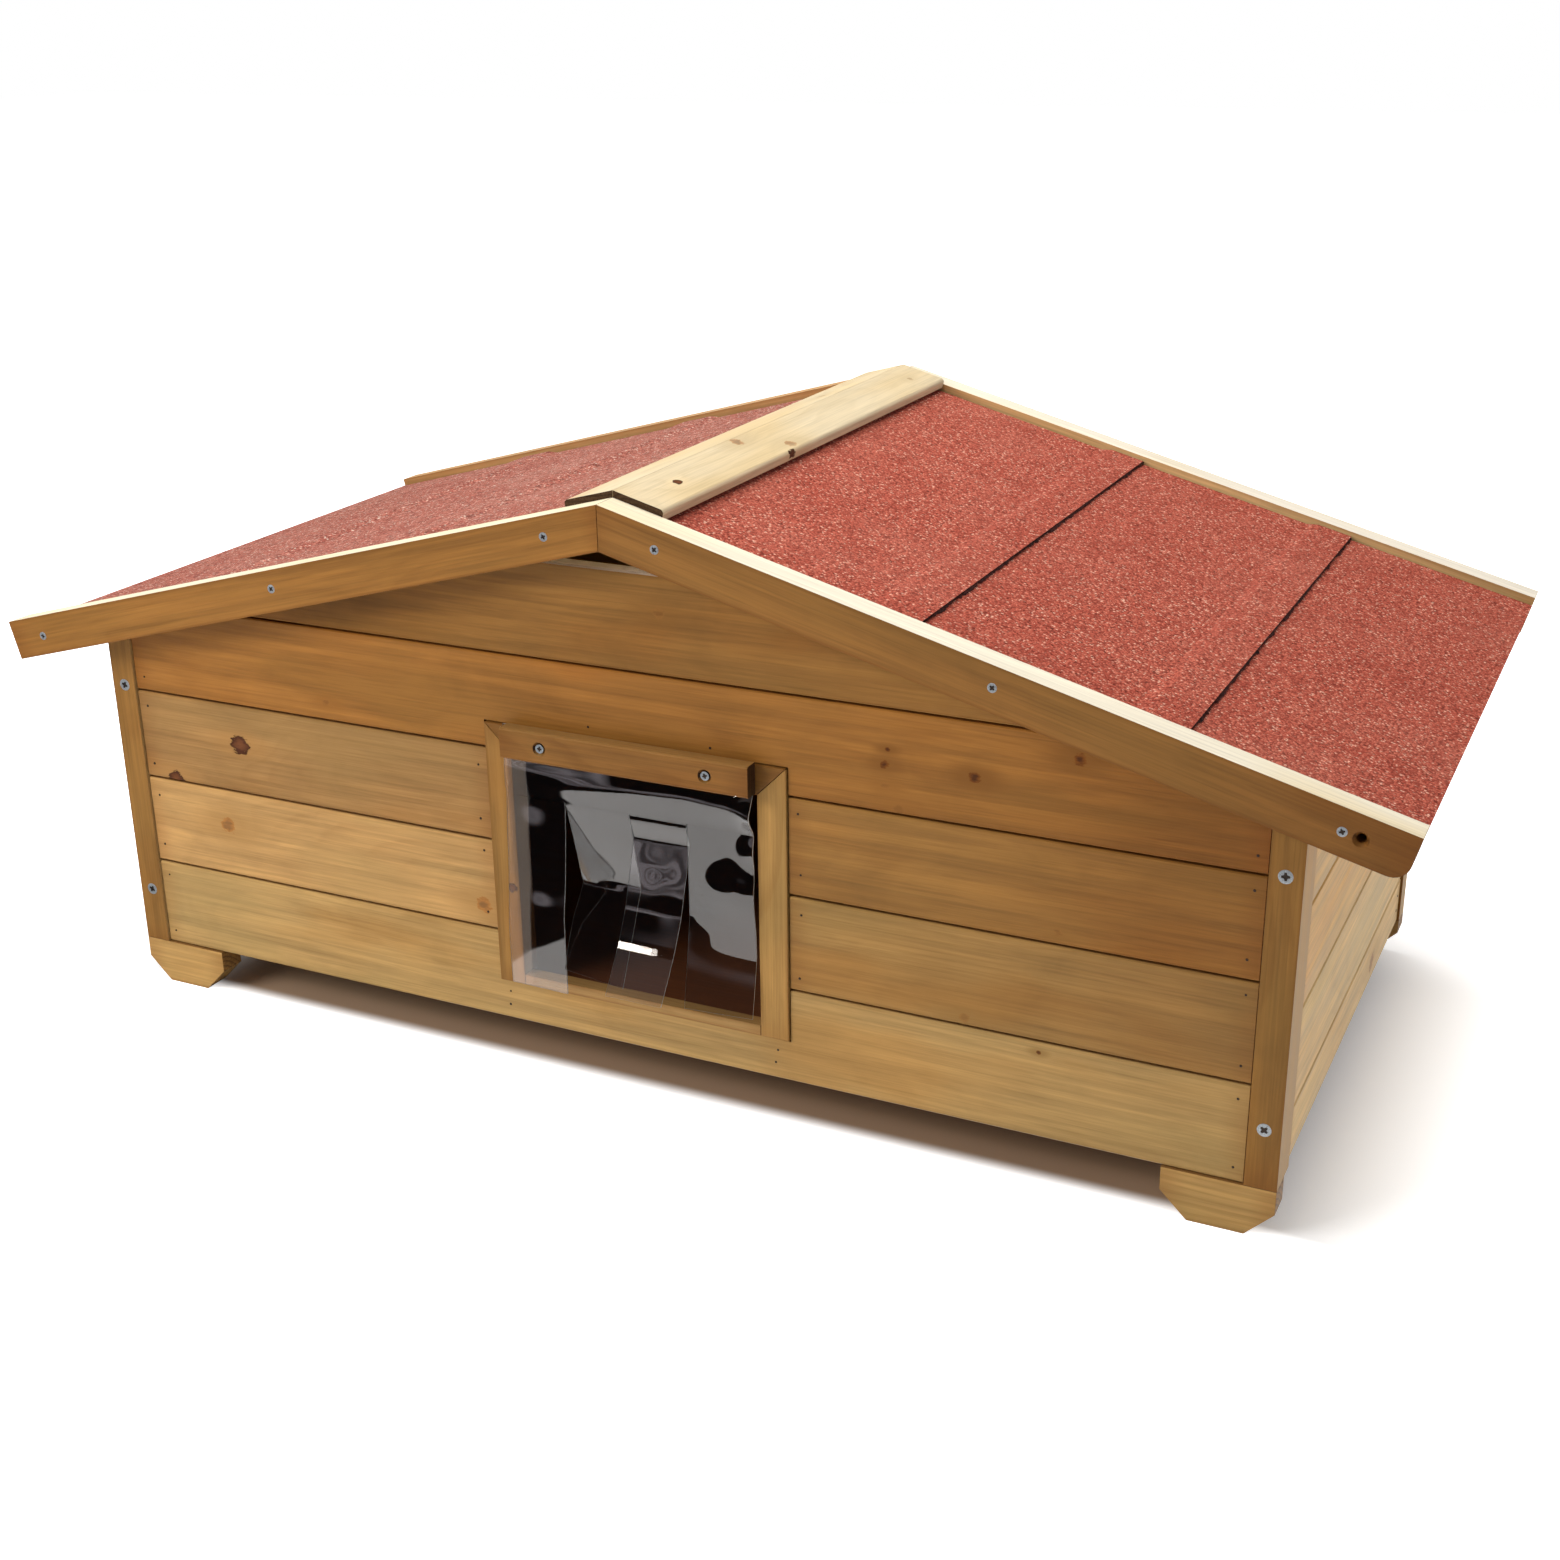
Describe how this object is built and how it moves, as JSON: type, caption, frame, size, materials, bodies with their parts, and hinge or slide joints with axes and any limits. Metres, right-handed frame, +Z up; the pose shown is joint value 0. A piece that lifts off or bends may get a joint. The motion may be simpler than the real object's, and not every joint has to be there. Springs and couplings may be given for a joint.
{
  "type": "outdoor cat house",
  "caption": "Low gabled timber cat house with boarded walls, an overhanging lapped felt roof and a doorway closed by a clear flap cut into hanging strips.",
  "frame": {"origin": "middle of the overall footprint, on the surface under the feet", "axes": "+X to the right along the front, +Y to the rear, +Z up"},
  "size_m": [0.843, 0.432, 0.3583],
  "materials": {
    "wall_wood": "satin",
    "side_wood": "satin",
    "frame_wood": "satin",
    "barge_wood": "satin",
    "ridge_wood": "matte",
    "deck_wood": "matte",
    "inner_wood": "matte",
    "roofing_felt": "matte",
    "clear_sheet": "gloss",
    "screw_steel": "satin"
  },
  "bodies": {
    "house": {"door_left_batten": "inner_wood", "door_left_jamb": "frame_wood", "door_lintel": "frame_wood", "door_right_batten": "inner_wood", "door_right_jamb": "frame_wood", "door_sill": "frame_wood", "flap_clamp_batten": "frame_wood", "flap_clamp_screw_left": "screw_steel", "flap_clamp_screw_right": "screw_steel", "flap_header": "clear_sheet", "floor_front_bearer": "inner_wood", "floor_panel": "inner_wood", "floor_rear_bearer": "inner_wood", "front_bottom_board": "wall_wood", "front_gable_board": "wall_wood", "front_left_barge_board": "barge_wood", "front_left_foot": "frame_wood", "front_left_post": "frame_wood", "front_right_barge_board": "barge_wood", "front_right_foot": "frame_wood", "front_right_post": "frame_wood", "front_second_board_left": "wall_wood", "front_second_board_right": "wall_wood", "front_third_board_left": "wall_wood", "front_third_board_right": "wall_wood", "front_top_board": "wall_wood", "left_bottom_board": "side_wood", "left_felt_lower": "roofing_felt", "left_felt_middle": "roofing_felt", "left_felt_upper": "roofing_felt", "left_roof_deck": "deck_wood", "left_second_board": "side_wood", "left_third_board": "side_wood", "left_top_board": "side_wood", "rear_bottom_board": "wall_wood", "rear_gable_board": "wall_wood", "rear_left_barge_board": "barge_wood", "rear_left_foot": "frame_wood", "rear_left_post": "frame_wood", "rear_right_barge_board": "barge_wood", "rear_right_foot": "frame_wood", "rear_right_post": "frame_wood", "rear_second_board": "wall_wood", "rear_third_board": "wall_wood", "rear_top_board": "wall_wood", "ridge_felt_strip": "roofing_felt", "ridge_left_board": "ridge_wood", "ridge_right_board": "ridge_wood", "right_bottom_board": "side_wood", "right_felt_lower": "roofing_felt", "right_felt_middle": "roofing_felt", "right_felt_upper": "roofing_felt", "right_roof_deck": "deck_wood", "right_second_board": "side_wood", "right_third_board": "side_wood", "right_top_board": "side_wood"},
    "flap_strip_1": {"flap_strip_1": "clear_sheet"},
    "flap_strip_2": {"flap_strip_2": "clear_sheet"},
    "flap_strip_3": {"flap_strip_3": "clear_sheet"},
    "flap_strip_4": {"flap_strip_4": "clear_sheet"}
  },
  "joints": [
    {"name": "flap_strip_1_swing", "type": "hinge", "parent": "house", "child": "flap_strip_1", "pos_m": [0, -0.19305, 0.175], "axis": [1, 0, 0], "range_deg": [-80, 0]},
    {"name": "flap_strip_2_swing", "type": "hinge", "parent": "house", "child": "flap_strip_2", "pos_m": [0, -0.19305, 0.175], "axis": [1, 0, 0], "range_deg": [-80, 75]},
    {"name": "flap_strip_3_swing", "type": "hinge", "parent": "house", "child": "flap_strip_3", "pos_m": [0, -0.19305, 0.175], "axis": [1, 0, 0], "range_deg": [-80, 75]},
    {"name": "flap_strip_4_swing", "type": "hinge", "parent": "house", "child": "flap_strip_4", "pos_m": [0, -0.19305, 0.175], "axis": [1, 0, 0], "range_deg": [-80, 75]}
  ]
}
